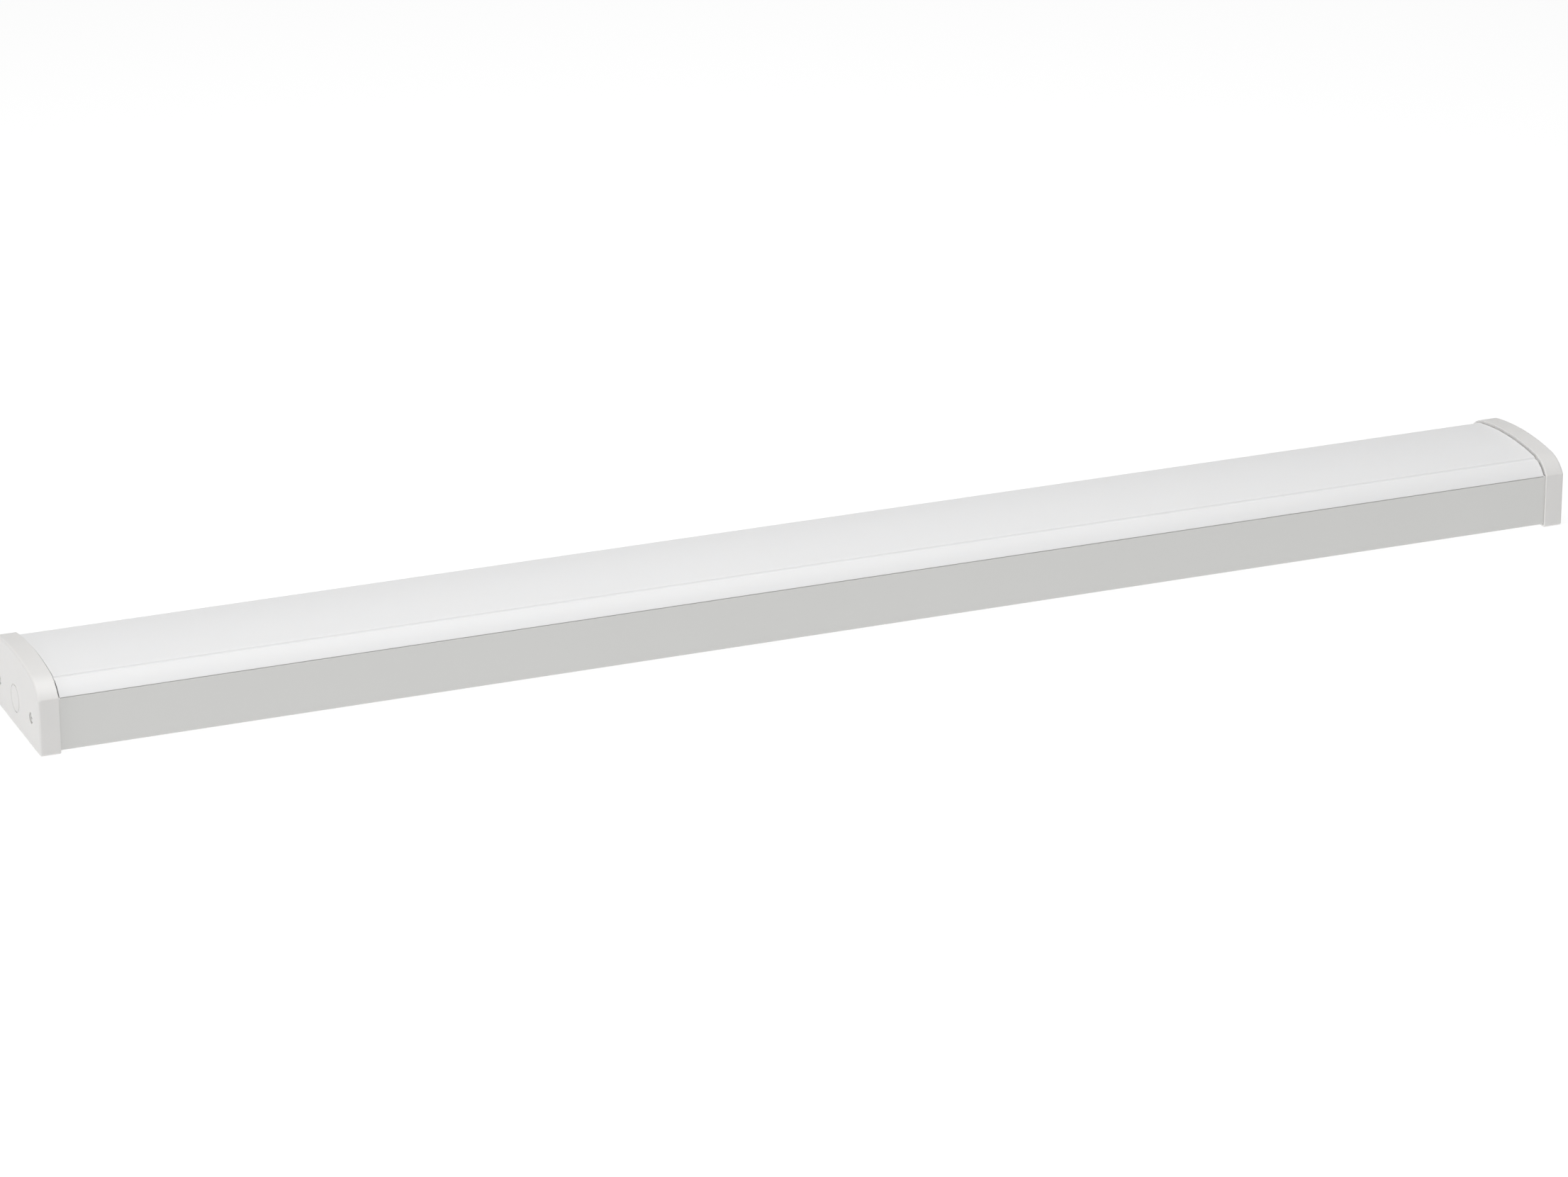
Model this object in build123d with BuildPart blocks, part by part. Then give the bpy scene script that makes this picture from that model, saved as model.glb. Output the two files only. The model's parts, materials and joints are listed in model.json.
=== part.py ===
from build123d import *
import math
import os

# Wide-body LED batten, in millimetres: a folded steel tray closed by an opal diffuser and two
# moulded end caps, with the LED boards, driver and terminal block inside.
# X runs along the batten, Y across it (the front is -Y) and Z from the mounting back to the
# diffuser. The origin is the middle of the back, level with the feet of the end caps.

# Overall
overall_length = 1200.0
body_width = 117.0
wall_height = 39.0
dome_rise = 14.5
cap_proud = 2.0
sheet = 0.8
bend_radius = 1.2
running_gap = 0.3
cut_margin = 1.0

half_length = overall_length / 2
half_width = body_width / 2
base_z = cap_proud
floor_z = base_z + sheet
wall_top = base_z + wall_height
overall_height = wall_top + dome_rise + cap_proud

# Dome: a crown arc between two shoulder arcs, tangent to each other
crown_slope = 9.0
edge_slope = 55.0
diffuser_wall = 1.8
leg_wall = 1.8
leg_outer_y = 52.0
leg_bottom = 34.5
leg_edge = 0.5
groove_slope = 19.0
groove_radius = 2.0
groove_depth = 0.8

# End caps
cap_lip = 15.0
cap_wall = 2.5
cap_fit = 0.25
cap_face_edge = 1.8
cap_rim_edge = 0.4
diffuser_end_gap = 1.3
lip_ring = 2.0
tongue_gap = 0.5
tongue_length = 8.0
tongue_wall = 1.6
tongue_half_width = 47.0
cap_screw_y = 40.0
cap_screw_z = 22.0
cap_boss_radius = 5.5
counterbore_radius = 4.2
knockout_groove = 0.8
knockout_depth = 0.6

# End plates
end_plate_x = 592.8
end_plate_half_width = 50.0
end_plate_drop = 3.0
end_foot = 22.0
end_rivet_inset = 7.0
rivet_y = 30.0

# Fasteners: shank radii, and how much wider the hole is
rivet_radius = 1.6
board_shank = 1.45
block_shank = 1.5
cap_shank = 1.65
driver_shank = 1.75
earth_shank = 2.0
thread_gap = 0.05
cap_screw_length = 14.0
screw_bite = 2.0

# Housing
tray_end_gap = 1.5
flange_width = 5.0
return_depth = 6.0
fixing_x = 350.0
fixing_y = 38.0
fixing_slot = 12.0
fixing_slot_width = 5.5
pad_radius = 12.0
box_hole_x = 25.4
box_hole_radius = 2.25
entry_radius = 10.0
spare_entry_x = 520.0

# Gear tray, its brackets and latches
gear_z = 29.0
gear_half_length = 586.0
gear_flat = 40.0
wing_y = 49.0
wing_z = 34.2
wire_hole_radius = 6.0
window_length = 30.0
window_width = 30.0
window_corner = 3.0
latch_x = 440.0
bracket_sheet = 1.0
bracket_half_top = 15.0
bracket_half_foot = 27.0
bracket_half_width = 22.0
bracket_rivet_inset = 6.0
latch_shaft = 3.4
latch_hole = 3.9
latch_disc_radius = 8.0
latch_disc_height = 1.6
latch_grip_length = 15.0
latch_grip_width = 3.4
latch_grip_height = 4.4
latch_wing_length = 14.0
latch_wing_width = 4.2
latch_wing_height = 2.0
latch_lift = 0.1
latch_edge = 0.8
keyhole_length = 16.0
keyhole_width = 5.0

# LED boards
board_y = 26.0
board_width = 18.0
board_thick = 1.2
board_inner_x = 5.0
led_pitch = 20.5
leds_per_board = 28
led_length = 2.8
led_width = 3.5
led_height = 0.8
screw_pitches = (4, 11, 17, 24)
board_gap = 0.4
board_corner = 1.0
board_hole_gap = 0.15
connector_x = 9.5
supply_connector_x = 394.5
connector_length = 7.0
connector_width = 6.0
connector_height = 4.2
connector_edge = 0.4
connector_wire_height = 2.1
connector_wire_spacing = 3.0
thin_wire_radius = 0.7
link_arch = 1.5

# Driver
driver_x = -210.0
driver_half = 90.0
driver_half_width = 20.0
driver_ear = 10.0
driver_ear_width = 16.0
driver_screw_inset = 5.0
driver_wall_height = 7.2
driver_wall_inset = 1.2
post_radius = 2.0
post_height = 3.4
post_inset = 15.0
post_spacing_y = 30.0
cover_lift = 0.2
cover_height = 20.2
cover_side = 0.9
cover_side_gap = 0.2
cover_top = 1.0
cover_corner = 1.5
cover_edge = 1.0
vent_length = 22.0
vent_width = 2.2
vent_pitch = 6.0
vent_count = 9
circuit_thick = 1.6
circuit_end_gap = 2.0
circuit_side_gap = 1.5
core_offset = 6.0
core_length = 26.0
core_width = 16.0
core_height = 3.0
winding_length = 18.0
winding_width = 22.0
winding_height = 7.0
winding_corner = 4.0
input_can_offset = 52.0
input_can_radius = 6.0
output_can_offset = -36.0
output_can_radius = 5.0
output_can_y = 7.0
can_height = 12.5
can_edge = 0.8
terminal_length = 12.0
terminal_end_gap = 1.0
terminal_side_gap = 1.0
terminal_half_y = 10.0
terminal_height = 10.0
terminal_edge = 0.6
terminal_wire_height = 5.4
input_wire_y = 5.5

# Terminal block
block_x = -59.0
block_half_x = 17.0
block_half_y = 14.0
block_top = 20.0
block_edge = 1.0
block_foot_length = 11.0
block_foot_height = 2.5
block_screw_margin = 4.5
pole_pitch = 8.5
supply_hole_z = 8.0
bond_hole_z = 13.5
wire_hole = 1.7
wire_hole_depth = 6.0
button_x = 5.6
button_y = 5.0
button_travel = 2.0
button_floor_gap = 0.5
button_proud = 3.0
button_edge = 0.6
button_slot_length = 3.6
button_slot_width = 0.9
button_slot_depth = 1.0
pocket_gap = 0.15
pocket_depth = 8.0
clamp_pocket_length = 22.0
clamp_pocket_width = 5.6
clamp_pocket_top = 11.0
clamp_half_length = 9.0
clamp_half_width = 2.2
clamp_low = 5.0
clamp_high = 10.4

# Wires and the earth point
mains_radius = 1.3
mains_stub = 13.0
mains_bend = 20.0
bond_bend = 6.0
bond_stub = 9.0
bond_turn_y = 12.0
bond_drop_y = 23.0
bond_rise = 1.5
earth_x = -94.0
earth_y = 42.0
tag_radius = 4.0
tag_neck_width = 3.0
tag_reach = 9.0
tag_barrel_radius = 1.9
tag_barrel_length = 3.5
led_wire_radius = 0.8
led_wire_bend = 4.0
led_wire_spacing = 3.5
positive_run_y = 1.2
negative_run_y = 3.6
wire_clip_x = -360.0
wire_clip_spacing = 32.0
wire_clip_length = 8.0
wire_clip_foot = 18.0
wire_clip_width = 12.0
wire_clip_inside = 9.6
wire_clip_height = 4.2
wire_clip_wall = 0.6
wire_clip_room = 2.4

# Cable grommet and blanking plugs
grommet_bore = 4.0
grommet_below = 1.4
grommet_above = 3.2
grommet_flange = 2.5
grommet_rim = 0.8
grommet_shoulder = 1.6
entry_fit = 0.1
plug_head = 1.2
plug_head_lap = 2.0
plug_edge = 0.8
plug_wall = 1.6
plug_depth = 4.5
plug_barb = 0.5
plug_barb_height = 1.2

# Diffuser clips
clip_spots = (-450.0, -150.0, 150.0, 450.0)
clip_half_length = 7.0
clip_gap = 0.12
clip_sheet = 0.4
clip_bend = 0.25
clip_outer_height = 4.5
clip_inner_height = 2.0
clip_bump = 0.65
clip_bump_height = 3.2
clip_tip = 0.2
clip_tip_height = 4.2

# Places that follow from the sizes above
board_length = led_pitch * leds_per_board
board_centre_x = board_inner_x + board_length / 2
board_top = gear_z + board_thick
gear_bottom = gear_z - sheet
connector_wire_z = board_top + connector_wire_height
driver_floor = floor_z + sheet
end_rivet_x = end_plate_x - end_foot + end_rivet_inset
bracket_rivet_x = bracket_half_foot - bracket_rivet_inset
block_screw_y = block_half_y + block_screw_margin
driver_screw_x = driver_half + driver_screw_inset

# The two tangent arcs of half the dome span half the width and the whole rise.
crown_angle = math.radians(crown_slope)
edge_angle = math.radians(edge_slope)
crown_run = math.sin(crown_angle)
crown_drop = 1 - math.cos(crown_angle)
shoulder_run = math.sin(edge_angle) - math.sin(crown_angle)
shoulder_drop = math.cos(crown_angle) - math.cos(edge_angle)
determinant = crown_run * shoulder_drop - shoulder_run * crown_drop
crown_radius = (half_width * shoulder_drop - shoulder_run * dome_rise) / determinant
shoulder_radius = (crown_run * dome_rise - crown_drop * half_width) / determinant
crown_z = wall_top + dome_rise - crown_radius
shoulder_y = (crown_radius - shoulder_radius) * math.sin(crown_angle)
shoulder_z = crown_z + (crown_radius - shoulder_radius) * math.cos(crown_angle)


def dome_section(inset):
    """The area under the dome, inset along its normals, closed by a chord."""
    shoulder_size = edge_slope - crown_slope
    with BuildSketch() as section:
        with BuildLine():
            front = CenterArc(
                (shoulder_y, shoulder_z), shoulder_radius - inset, 90 - edge_slope, shoulder_size
            )
            CenterArc((0, crown_z), crown_radius - inset, 90 - crown_slope, 2 * crown_slope)
            rear = CenterArc(
                (-shoulder_y, shoulder_z), shoulder_radius - inset, 90 + crown_slope, shoulder_size
            )
            Line(front @ 0, rear @ 1)
        make_face()
    return section.sketch


def folded_section(points, thickness, radius):
    """Folded sheet: a skin line with rounded bends, thickened to the right of its direction."""
    with BuildSketch() as section:
        with BuildLine():
            FilletPolyline(*points, radius=radius)
            offset(amount=thickness, side=Side.RIGHT)
        make_face()
    return section.sketch


def wire(points, radius, bend):
    """Insulated wire along straight runs joined by tangent arcs."""
    with BuildPart() as run:
        with BuildLine() as route:
            FilletPolyline(*points, radius=bend)
        with BuildSketch(Plane(origin=points[0], z_dir=route.line % 0)):
            Circle(radius)
        sweep()
    return run.part


def screw(plane, shank, length):
    """Pan-head cross-recess screw. The plane is the underside of the head, facing outwards."""
    head_radius = 2.0 * shank
    head_height = 1.2 * shank
    recess_length = 1.1 * head_radius
    recess_width = 0.22 * head_radius
    with BuildPart() as fastener:
        with BuildSketch(plane):
            Circle(head_radius)
        extrude(amount=head_height)
        rim = fastener.edges().sort_by(Axis(plane.origin, plane.z_dir))[-1]
        fillet(rim, 0.45 * head_height)
        with BuildSketch(plane):
            Circle(shank)
        extrude(amount=-length)
        with BuildSketch(plane.offset(head_height)):
            Rectangle(recess_length, recess_width)
            Rectangle(recess_width, recess_length)
        extrude(amount=-0.6 * head_height, mode=Mode.SUBTRACT)
    return fastener.part


def rivet(x, y, top):
    """Blind rivet through the base: flat head below, formed head above."""
    flat_head = 1.9 * rivet_radius
    formed_head = 1.4 * rivet_radius
    with BuildPart() as fastener:
        with BuildSketch(Plane.XY.offset(base_z)):
            with Locations((x, y)):
                Circle(rivet_radius)
        extrude(amount=top - base_z)
        with BuildSketch(Plane.XY.offset(base_z)):
            with Locations((x, y)):
                Circle(flat_head)
        extrude(amount=-sheet, taper=20)
        with BuildSketch(Plane.XY.offset(top)):
            with Locations((x, y)):
                Circle(formed_head)
        extrude(amount=0.8 * rivet_radius, taper=12)
    return fastener.part


# Outline of wall and dome together
with BuildSketch() as body_section:
    add(dome_section(0))
    with Locations((0, base_z)):
        Rectangle(body_width, wall_height, align=(Align.CENTER, Align.MIN))

left_end = Plane(origin=(-half_length, 0, 0), x_dir=(0, 1, 0), z_dir=(1, 0, 0))
right_end = Plane(origin=(half_length, 0, 0), x_dir=(0, -1, 0), z_dir=(-1, 0, 0))
across = Plane.YZ

# Housing tray: base, side walls, top flanges and short returns that guide the diffuser's legs
flange_y = half_width - flange_width
tray_section = folded_section(
    [
        (flange_y, wall_top - return_depth),
        (flange_y, wall_top),
        (half_width, wall_top),
        (half_width, base_z),
        (-half_width, base_z),
        (-half_width, wall_top),
        (-flange_y, wall_top),
        (-flange_y, wall_top - return_depth),
    ],
    sheet,
    bend_radius,
)
tray_half_length = half_length - cap_wall - tray_end_gap
with BuildPart() as housing_tray:
    with BuildSketch(across):
        add(tray_section)
    extrude(amount=tray_half_length, both=True)
    # Fixing pads, pressed down level with the feet of the end caps
    with BuildSketch(Plane.XY):
        with GridLocations(2 * fixing_x, 2 * fixing_y, 2, 2):
            Circle(pad_radius)
    extrude(amount=base_z, taper=-45)
    with BuildSketch(Plane.XY.offset(sheet)):
        with GridLocations(2 * fixing_x, 2 * fixing_y, 2, 2):
            Circle(pad_radius - sheet / 2)
    extrude(amount=base_z, taper=-45, mode=Mode.SUBTRACT)
    with BuildSketch(Plane.XY):
        with GridLocations(2 * fixing_x, 2 * fixing_y, 2, 2):
            SlotOverall(fixing_slot, fixing_slot_width)
        with Locations((-box_hole_x, 0), (box_hole_x, 0)):
            Circle(box_hole_radius)
        with Locations((0, 0), (-spare_entry_x, 0), (spare_entry_x, 0)):
            Circle(entry_radius)
        with GridLocations(2 * end_rivet_x, 2 * rivet_y, 2, 2):
            Circle(rivet_radius)
        with Locations((-latch_x, 0), (latch_x, 0)):
            with GridLocations(2 * bracket_rivet_x, 0, 2, 1):
                Circle(rivet_radius)
        with Locations((block_x, -block_screw_y), (block_x, block_screw_y)):
            Circle(block_shank + thread_gap)
        with Locations((driver_x - driver_screw_x, 0), (driver_x + driver_screw_x, 0)):
            Circle(driver_shank + thread_gap)
        with Locations((earth_x, earth_y)):
            Circle(earth_shank + thread_gap)
    extrude(amount=floor_z + cut_margin, mode=Mode.SUBTRACT)


# End plates: a web that takes the cap's screws and a foot riveted to the base
def end_plate(end):
    """Folded end plate, seen from the end it closes."""
    web = half_length - end_plate_x
    foot = web + end_foot
    side = Plane(origin=(end.origin.X, 0, 0), x_dir=end.z_dir, z_dir=(0, -end.z_dir.X, 0))
    section = folded_section(
        [(foot, floor_z), (web, floor_z), (web, wall_top - end_plate_drop)], sheet, bend_radius
    )
    with BuildPart() as plate:
        with BuildSketch(side):
            add(section)
        extrude(amount=end_plate_half_width, both=True)
        with BuildSketch(end):
            with Locations((-cap_screw_y, cap_screw_z), (cap_screw_y, cap_screw_z)):
                Circle(cap_shank + 2 * thread_gap)
            with Locations((0, cap_screw_z)):
                Circle(entry_radius)
        extrude(amount=web + cut_margin, mode=Mode.SUBTRACT)
        with BuildSketch(Plane.XY.offset(floor_z)):
            with Locations((end.origin.X + end.z_dir.X * (half_length - end_rivet_x), 0)):
                with GridLocations(0, 2 * rivet_y, 1, 2):
                    Circle(rivet_radius)
        extrude(amount=sheet, mode=Mode.SUBTRACT)
    return plate


end_plate_left = end_plate(left_end)
end_plate_right = end_plate(right_end)

end_rivets = [
    rivet(side * end_rivet_x, y, floor_z + sheet) for side in (-1, 1) for y in (-rivet_y, rivet_y)
]
with BuildPart() as end_plate_rivets:
    add(end_rivets)


# Brackets: top hats that carry the gear tray and catch the latches
def tray_bracket(x):
    """Top-hat bracket with a keyhole slot for the latch."""
    points = [
        (x + bracket_half_foot, floor_z),
        (x + bracket_half_top, floor_z),
        (x + bracket_half_top, gear_bottom - bracket_sheet),
        (x - bracket_half_top, gear_bottom - bracket_sheet),
        (x - bracket_half_top, floor_z),
        (x - bracket_half_foot, floor_z),
    ]
    section = folded_section(points, bracket_sheet, bend_radius)
    with BuildPart() as bracket:
        with BuildSketch(Plane.XZ):
            add(section)
        extrude(amount=bracket_half_width, both=True)
        with BuildSketch(Plane.XY.offset(gear_bottom - 2 * bracket_sheet)):
            with Locations((x, 0)):
                Circle(latch_hole)
                SlotOverall(keyhole_length, keyhole_width, rotation=90)
        extrude(amount=3 * bracket_sheet, mode=Mode.SUBTRACT)
        with BuildSketch(Plane.XY.offset(floor_z)):
            with Locations((x, 0)):
                with GridLocations(2 * bracket_rivet_x, 0, 2, 1):
                    Circle(rivet_radius)
        extrude(amount=bracket_sheet, mode=Mode.SUBTRACT)
    return bracket


tray_bracket_left = tray_bracket(-latch_x)
tray_bracket_right = tray_bracket(latch_x)

foot_rivets = [
    rivet(side * latch_x + offset_x, 0, floor_z + bracket_sheet)
    for side in (-1, 1)
    for offset_x in (-bracket_rivet_x, bracket_rivet_x)
]
with BuildPart() as bracket_rivets:
    add(foot_rivets)

# Gear tray: flat centre with sloped reflector wings
board_screw_x = [
    side * (board_inner_x + led_pitch * count) for side in (-1, 1) for count in screw_pitches
]
board_screw_spots = [(x, y) for x in board_screw_x for y in (-board_y, board_y)]
gear_section = folded_section(
    [(-wing_y, wing_z), (-gear_flat, gear_z), (gear_flat, gear_z), (wing_y, wing_z)],
    sheet,
    bend_radius,
)
with BuildPart() as gear_tray:
    with BuildSketch(across):
        add(gear_section)
    extrude(amount=gear_half_length, both=True)
    with BuildSketch(Plane.XY.offset(gear_bottom)):
        with Locations((-latch_x, 0), (latch_x, 0)):
            Circle(latch_hole)
        with Locations((-supply_connector_x, 0)):
            Circle(wire_hole_radius)
        with Locations((block_x, 0)):
            RectangleRounded(window_length, window_width, window_corner)
        with Locations(board_screw_spots):
            Circle(board_shank + thread_gap)
    extrude(amount=sheet, mode=Mode.SUBTRACT)


# LED boards and their packages
def led_board(side, y):
    """One board: side is -1 for left and 1 for right."""
    with BuildPart() as board:
        with BuildSketch(Plane.XY.offset(gear_z)):
            with Locations((side * board_centre_x, y)):
                RectangleRounded(board_length - board_gap, board_width, board_corner)
            spots = [(x, y) for x in board_screw_x if x * side > 0]
            with Locations(spots):
                Circle(board_shank + board_hole_gap, mode=Mode.SUBTRACT)
        extrude(amount=board_thick)
    return board


def led_packages(side, y):
    """The LED packages of one board, at an even pitch."""
    with BuildPart() as packages:
        with BuildSketch(Plane.XY.offset(board_top)):
            with Locations((side * board_centre_x, y)):
                with GridLocations(led_pitch, 0, leds_per_board, 1):
                    Rectangle(led_length, led_width)
        extrude(amount=led_height)
    return packages


led_board_front_left = led_board(-1, -board_y)
led_board_front_right = led_board(1, -board_y)
led_board_rear_left = led_board(-1, board_y)
led_board_rear_right = led_board(1, board_y)
led_packages_front_left = led_packages(-1, -board_y)
led_packages_front_right = led_packages(1, -board_y)
led_packages_rear_left = led_packages(-1, board_y)
led_packages_rear_right = led_packages(1, board_y)

connector_spots = [
    (x, y)
    for x in (-connector_x, connector_x, -supply_connector_x)
    for y in (-board_y, board_y)
]
with BuildPart() as board_connectors:
    with BuildSketch(Plane.XY.offset(board_top)):
        with Locations(connector_spots):
            Rectangle(connector_length, connector_width)
    extrude(amount=connector_height)
    chamfer(board_connectors.faces().group_by(Axis.Z)[-1].edges(), connector_edge)

board_screw_parts = [
    screw(Plane(origin=(x, y, board_top)), board_shank, board_thick + sheet + screw_bite)
    for x, y in board_screw_spots
]
with BuildPart() as board_screws:
    add(board_screw_parts)

link_end = connector_x - connector_length / 2


def link_wire(y):
    """Short arched wire between the inner connectors of two boards."""
    return wire(
        [
            (-link_end, y, connector_wire_z),
            (-0.6 * link_end, y, connector_wire_z),
            (-0.2 * link_end, y, connector_wire_z + link_arch),
            (0.2 * link_end, y, connector_wire_z + link_arch),
            (0.6 * link_end, y, connector_wire_z),
            (link_end, y, connector_wire_z),
        ],
        thin_wire_radius,
        2 * link_arch,
    )


link_parts = [
    link_wire(row_y + shift)
    for row_y in (-board_y, board_y)
    for shift in (-connector_wire_spacing / 2, connector_wire_spacing / 2)
]
with BuildPart() as board_link_wires:
    add(link_parts)

# Driver: folded base with ears, cover, circuit board and the larger components
circuit_z = driver_floor + post_height
component_z = circuit_z + circuit_thick
with BuildPart() as driver_base:
    with BuildSketch(across.offset(driver_x)):
        with Locations((0, floor_z)):
            Rectangle(
                2 * driver_half_width, driver_wall_height, align=(Align.CENTER, Align.MIN)
            )
        with Locations((0, driver_floor)):
            Rectangle(
                2 * (driver_half_width - sheet),
                driver_wall_height,
                align=(Align.CENTER, Align.MIN),
                mode=Mode.SUBTRACT,
            )
    extrude(amount=driver_half - driver_wall_inset, both=True)
    with BuildSketch(Plane.XY.offset(floor_z)):
        with Locations((driver_x, 0)):
            SlotOverall(2 * (driver_half + driver_ear), driver_ear_width)
    extrude(amount=sheet)
    with BuildSketch(Plane.XY.offset(floor_z)):
        with Locations((driver_x - driver_screw_x, 0), (driver_x + driver_screw_x, 0)):
            Circle(driver_shank + thread_gap)
    extrude(amount=sheet, mode=Mode.SUBTRACT)
    with BuildSketch(Plane.XY.offset(driver_floor)):
        with Locations((driver_x, 0)):
            with GridLocations(2 * (driver_half - post_inset), post_spacing_y, 2, 2):
                Circle(post_radius)
    extrude(amount=post_height)

cover_low = driver_floor + cover_lift
with BuildPart() as driver_cover:
    with BuildSketch(Plane.XY.offset(cover_low)):
        with Locations((driver_x, 0)):
            RectangleRounded(
                2 * driver_half,
                2 * (driver_half_width + cover_side_gap + cover_side),
                cover_corner,
            )
    extrude(amount=cover_height)
    fillet(driver_cover.faces().sort_by(Axis.Z)[-1].edges(), cover_edge)
    with BuildSketch(Plane.XY.offset(cover_low)):
        with Locations((driver_x, 0)):
            Rectangle(2 * (driver_half - cover_side), 2 * (driver_half_width + cover_side_gap))
    extrude(amount=cover_height - cover_top, mode=Mode.SUBTRACT)
    # Open ends, around the terminals
    with BuildSketch(across.offset(driver_x)):
        with Locations((0, driver_floor)):
            Rectangle(
                2 * terminal_half_y,
                component_z + terminal_height + cut_margin - driver_floor,
                align=(Align.CENTER, Align.MIN),
            )
    extrude(amount=driver_half, both=True, mode=Mode.SUBTRACT)
    with BuildSketch(Plane.XY.offset(cover_low + cover_height - cover_top)):
        with Locations((driver_x, 0)):
            with GridLocations(vent_pitch, 0, vent_count, 1):
                SlotOverall(vent_length, vent_width, rotation=90)
    extrude(amount=cover_top, mode=Mode.SUBTRACT)

with BuildPart() as driver_circuit_board:
    with BuildSketch(Plane.XY.offset(circuit_z)):
        with Locations((driver_x, 0)):
            RectangleRounded(
                2 * (driver_half - circuit_end_gap),
                2 * (driver_half_width - circuit_side_gap),
                board_corner,
            )
    extrude(amount=circuit_thick)

with BuildPart() as driver_transformer:
    for low in (component_z, component_z + core_height + winding_height):
        with BuildSketch(Plane.XY.offset(low)):
            with Locations((driver_x + core_offset, 0)):
                Rectangle(core_length, core_width)
        extrude(amount=core_height)
    with BuildSketch(Plane.XY.offset(component_z + core_height)):
        with Locations((driver_x + core_offset, 0)):
            RectangleRounded(winding_length, winding_width, winding_corner)
    extrude(amount=winding_height)

with BuildPart() as driver_capacitors:
    with BuildSketch(Plane.XY.offset(component_z)):
        with Locations((driver_x + input_can_offset, 0)):
            Circle(input_can_radius)
        with Locations((driver_x + output_can_offset, 0)):
            with GridLocations(0, 2 * output_can_y, 1, 2):
                Circle(output_can_radius)
    extrude(amount=can_height)
    fillet(driver_capacitors.faces().group_by(Axis.Z)[-1].edges(), can_edge)

terminal_x = driver_half - terminal_end_gap - terminal_length / 2
wire_entry_z = component_z + terminal_wire_height
with BuildPart() as driver_terminals:
    with BuildSketch(Plane.XY.offset(component_z)):
        with Locations((driver_x, 0)):
            with GridLocations(2 * terminal_x, 0, 2, 1):
                Rectangle(terminal_length, 2 * (terminal_half_y - terminal_side_gap))
    extrude(amount=terminal_height)
    chamfer(driver_terminals.faces().group_by(Axis.Z)[-1].edges(), terminal_edge)

driver_screw_parts = [
    screw(Plane(origin=(x, 0, driver_floor)), driver_shank, sheet + screw_bite)
    for x in (driver_x - driver_screw_x, driver_x + driver_screw_x)
]
with BuildPart() as driver_screws:
    add(driver_screw_parts)

# Terminal block: three poles side by side, each with a clamp and a release button
pole_offsets = (-pole_pitch, 0, pole_pitch)
pole_spots = [(block_x, y) for y in pole_offsets]
with BuildPart() as terminal_block:
    with BuildSketch(Plane.XY.offset(floor_z)):
        with Locations((block_x, 0)):
            Rectangle(2 * block_half_x, 2 * block_half_y)
    extrude(amount=block_top - floor_z)
    chamfer(terminal_block.faces().sort_by(Axis.Z)[-1].edges(), block_edge)
    with BuildSketch(Plane.XY.offset(floor_z)):
        with Locations((block_x, 0)):
            Rectangle(block_foot_length, 2 * (block_screw_y + block_screw_margin))
    extrude(amount=block_foot_height)
    with BuildSketch(Plane.XY.offset(floor_z)):
        with Locations((block_x, -block_screw_y), (block_x, block_screw_y)):
            Circle(block_shank + thread_gap)
    extrude(amount=block_foot_height, mode=Mode.SUBTRACT)
    with BuildSketch(Plane.XY.offset(block_top - pocket_depth)):
        with Locations(pole_spots):
            Rectangle(button_x + 2 * pocket_gap, button_y + 2 * pocket_gap)
    extrude(amount=pocket_depth, mode=Mode.SUBTRACT)
    with BuildSketch(Plane.XY.offset(floor_z)):
        with Locations(pole_spots):
            Rectangle(clamp_pocket_length, clamp_pocket_width)
    extrude(amount=clamp_pocket_top - floor_z, mode=Mode.SUBTRACT)
    for hole_z in (supply_hole_z, bond_hole_z):
        for side in (-1, 1):
            with BuildSketch(across.offset(block_x + side * block_half_x)):
                with Locations([(y, hole_z) for y in pole_offsets]):
                    Circle(wire_hole)
            extrude(amount=-side * wire_hole_depth, mode=Mode.SUBTRACT)

with BuildPart() as clamp:
    with BuildSketch(Plane.XZ):
        with BuildLine():
            Polyline(
                (block_x - clamp_half_length, clamp_low),
                (block_x - clamp_half_length, clamp_high),
                (block_x + clamp_half_length, clamp_high),
                (block_x + clamp_half_length, clamp_low),
            )
            offset(amount=sheet, side=Side.RIGHT)
        make_face()
    extrude(amount=clamp_half_width, both=True)
clamp_parts = [Pos(0, y, 0) * clamp.part for y in pole_offsets]
with BuildPart() as terminal_clamps:
    add(clamp_parts)

block_screw_seat = floor_z + block_foot_height
block_screw_parts = [
    screw(
        Plane(origin=(block_x, y, block_screw_seat)),
        block_shank,
        block_foot_height + screw_bite,
    )
    for y in (-block_screw_y, block_screw_y)
]
with BuildPart() as terminal_block_screws:
    add(block_screw_parts)


def release_button(y):
    """Push-in release button with a screwdriver slot, free to sink by its travel."""
    low = block_top - pocket_depth + button_travel + button_floor_gap
    high = block_top + button_proud
    with BuildPart() as button:
        with BuildSketch(Plane.XY.offset(low)):
            with Locations((block_x, y)):
                Rectangle(button_x, button_y)
        extrude(amount=high - low)
        fillet(button.faces().sort_by(Axis.Z)[-1].edges(), button_edge)
        with BuildSketch(Plane.XY.offset(high)):
            with Locations((block_x, y)):
                Rectangle(button_slot_length, button_slot_width)
        extrude(amount=-button_slot_depth, mode=Mode.SUBTRACT)
    return button


release_button_live = release_button(-pole_pitch)
release_button_earth = release_button(0)
release_button_neutral = release_button(pole_pitch)

# Supply wires from the terminal block to the driver, and the earth bond to the housing
block_face_x = block_x - block_half_x
driver_face_x = driver_x + driver_half - terminal_end_gap


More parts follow.
